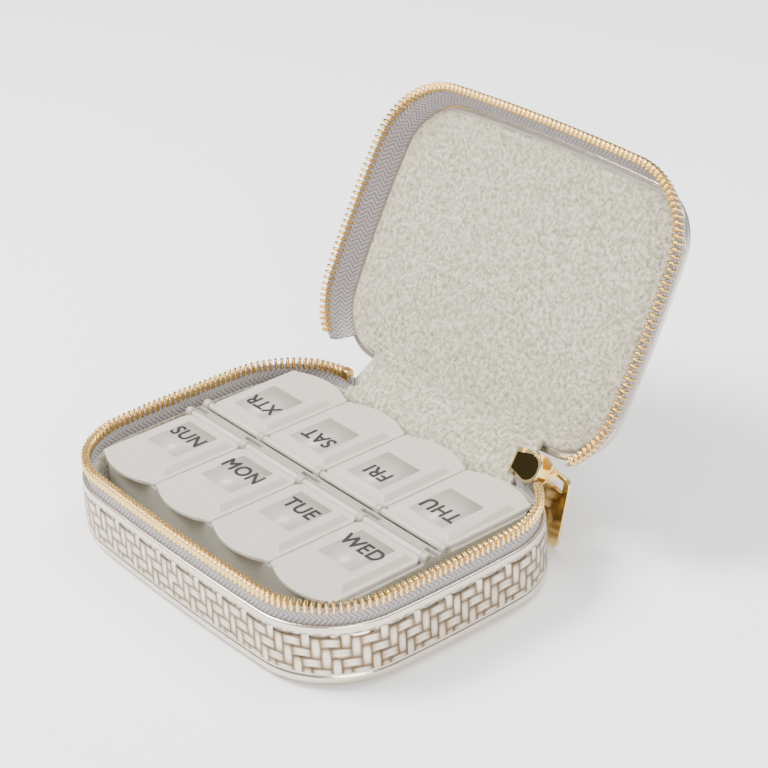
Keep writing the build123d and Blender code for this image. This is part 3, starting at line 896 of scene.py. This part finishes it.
# The slider's inner plate carries a dark mirror face inside its gold rim: round nose, straight tail
slider_tip = 35.0
tip_angle = math.radians(slider_tip)
slider_middle = np.array([(slider_low[0] + slider_high[0]) / 2, hinge_y, zip_plane + 1.0])
slider_out = np.array([0, math.cos(tip_angle), -math.sin(tip_angle)])
slider_side = np.cross(slider_out, np.array([1.0, 0, 0]))
nose_at, nose_radius, tail_end, tail_half = 0.6, 3.3, -4.1, 2.1
face_back, face_front = -2.48, -2.54
rim_points = []
for a in np.linspace(-math.pi / 2, math.pi / 2, 41):
    rim_points.append((nose_at + nose_radius * math.cos(a), nose_radius * math.sin(a)))
rim_points += [(tail_end, tail_half), (tail_end, -tail_half)]
face_vertices = []
for depth in (face_back, face_front):
    for along, across in rim_points:
        spot = slider_middle + np.array([along, 0, 0])
        face_vertices.append(spot + across * slider_side + depth * slider_out)
rim_count = len(rim_points)
face_faces = [list(range(rim_count)), list(range(rim_count, 2 * rim_count))[::-1]]
for k in range(rim_count):
    after = (k + 1) % rim_count
    face_faces.append([after, k, k + rim_count, after + rim_count])
slider_face = add_mesh("slider_inner_face", np.array(face_vertices), face_faces, smooth=False)
dress(slider_face, bronze_look)
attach(slider_face, "slider")

# ---------------------------------------------------------------- tray, lids, windows and printing
dress(nodes["pill_tray"], tray_look)
soften(nodes["pill_tray"], 0.2)


window_length, window_width = 12.5, 13.05
window_gap, window_thick, window_sunk = 0.06, 0.12, 0.16
rib_radius, rib_sweep_gap, plateau_back, bevel_run, window_back_room = 1.3, 0.3, 0.8, 1.3, 0.6


def window_piece(day, low, high, side):
    """The thin clear patch in a lid's raised middle, with the day printed over it."""
    middle_x = (low[0] + high[0]) / 2
    hinge_side = joints[f"pill_lid_{day}_hinge"]["pos_m"][1] / MM
    top = high[2]
    start = rib_radius + rib_sweep_gap + plateau_back + bevel_run + window_back_room
    centre_y = hinge_side + side * (start + window_width / 2)
    size = (window_length - window_gap, window_width - window_gap, window_thick)
    vertices, faces = box_piece(size, 0.05, 2)
    vertices = vertices + np.array([middle_x, centre_y, top - window_sunk])
    piece = dress(add_mesh(f"window_{day}", vertices, faces), window_look)
    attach(piece, f"pill_lid_{day}")
    return middle_x, centre_y, top


print_bold, print_lift = 0.11, 0.004


def print_day(day, x, y, z, turned):
    """The day's abbreviation as raised print, in strokes laid a little apart to make it bold."""
    curve = bpy.data.curves.new(f"print_{day}", "FONT")
    curve.body = day.upper()
    curve.align_x, curve.align_y = "CENTER", "CENTER"
    curve.size = 5.9 * MM
    curve.extrude = 0.03 * MM
    curve.space_character = 1.06
    curve.resolution_u = 4
    text = bpy.data.objects.new(f"text_{day}", curve)
    bpy.context.scene.collection.objects.link(text)
    facing = Matrix.Rotation(math.pi * turned, 4, "Z")
    text.matrix_world = Matrix.Translation((x * MM, y * MM, z * MM)) @ facing
    bpy.context.view_layer.update()
    mesh = bpy.data.meshes.new_from_object(text)
    mesh.transform(text.matrix_world)
    bpy.data.objects.remove(text)
    vertices = np.array([v.co[:] for v in mesh.vertices]) / MM
    faces = [list(f.vertices) for f in mesh.polygons]
    strokes, stroke_faces = [], []
    for step, (aside, along) in enumerate([(-1, -1), (1, -1), (-1, 1), (1, 1), (0, 0)]):
        strokes.append(vertices + np.array([aside * print_bold, along * print_bold, step * print_lift]))
        stroke_faces += [[k + step * len(vertices) for k in f] for f in faces]
    piece = dress(add_mesh(f"print_{day}", np.vstack(strokes), stroke_faces, smooth=False), ink_look)
    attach(piece, f"pill_lid_{day}")
    return piece


for side, names in ((-1, days_front), (1, days_back)):
    for day in names:
        node = nodes[f"lid_{day}"]
        dress(node, lid_look)
        soften(node, 0.22)
        low, high = node_box(f"lid_{day}")
        x, y, z = window_piece(day, low, high, side)
        print_day(day, x, y - side * 1.6, z - 0.02, side > 0)

# ---------------------------------------------------------------- floor, lights and camera
floor_mesh = bpy.data.meshes.new("floor")
reach = 3.0
floor_corners = [(-reach, -reach, 0), (reach, -reach, 0), (reach, reach, 0), (-reach, reach, 0)]
floor_mesh.from_pydata(floor_corners, [], [[0, 1, 2, 3]])
floor = bpy.data.objects.new("floor", floor_mesh)
floor.location.z = -0.0003
bpy.context.scene.collection.objects.link(floor)
dress(floor, make_floor())


def softbox(name, at, aim, size, power, colour=(1, 1, 1)):
    light = bpy.data.lights.new(name, "AREA")
    light.size = size
    light.energy = power
    light.color = colour
    lamp = bpy.data.objects.new(name, light)
    lamp.location = at
    lamp.rotation_euler = (Vector(aim) - Vector(at)).to_track_quat("-Z", "Y").to_euler()
    bpy.context.scene.collection.objects.link(lamp)


centre = (0.0, 0.01, 0.03)
softbox("key_light", (-0.45, -0.35, 0.75), centre, 0.4, 21.0)
softbox("fill_light", (0.75, -0.35, 0.45), centre, 0.5, 9.0)
softbox("top_light", (0.1, 0.35, 0.9), centre, 0.5, 9.0)

world = bpy.data.worlds.new("studio")
world.use_nodes = True
world.node_tree.nodes["Background"].inputs["Color"].default_value = (1, 1, 1, 1)
world.node_tree.nodes["Background"].inputs["Strength"].default_value = 0.5
bpy.context.scene.world = world

# The camera looks down on the case from the front right
azimuth, elevation, roll = (math.radians(a) for a in (52.63, 28.58, -3.25))
distance, shift_right, shift_up = 553.9, 18.87, 20.76
camera_lens = 106.3
back = np.array([
    math.sin(azimuth) * math.cos(elevation), -math.cos(azimuth) * math.cos(elevation), math.sin(elevation)
])
right = np.array([math.cos(azimuth), math.sin(azimuth), 0.0])
up = np.cross(back, right)
right, up = right * math.cos(roll) + up * math.sin(roll), up * math.cos(roll) - right * math.sin(roll)
place = (back * distance + right * shift_right + up * shift_up + np.array([0, 0, tip_height])) * MM
camera_data = bpy.data.cameras.new("camera")
camera_data.sensor_width = 36.0
camera_data.lens = camera_lens
camera = bpy.data.objects.new("camera", camera_data)
camera.matrix_world = Matrix((
    (right[0], up[0], back[0], place[0]),
    (right[1], up[1], back[1], place[1]),
    (right[2], up[2], back[2], place[2]),
    (0, 0, 0, 1),
))
bpy.context.scene.collection.objects.link(camera)
bpy.context.scene.camera = camera
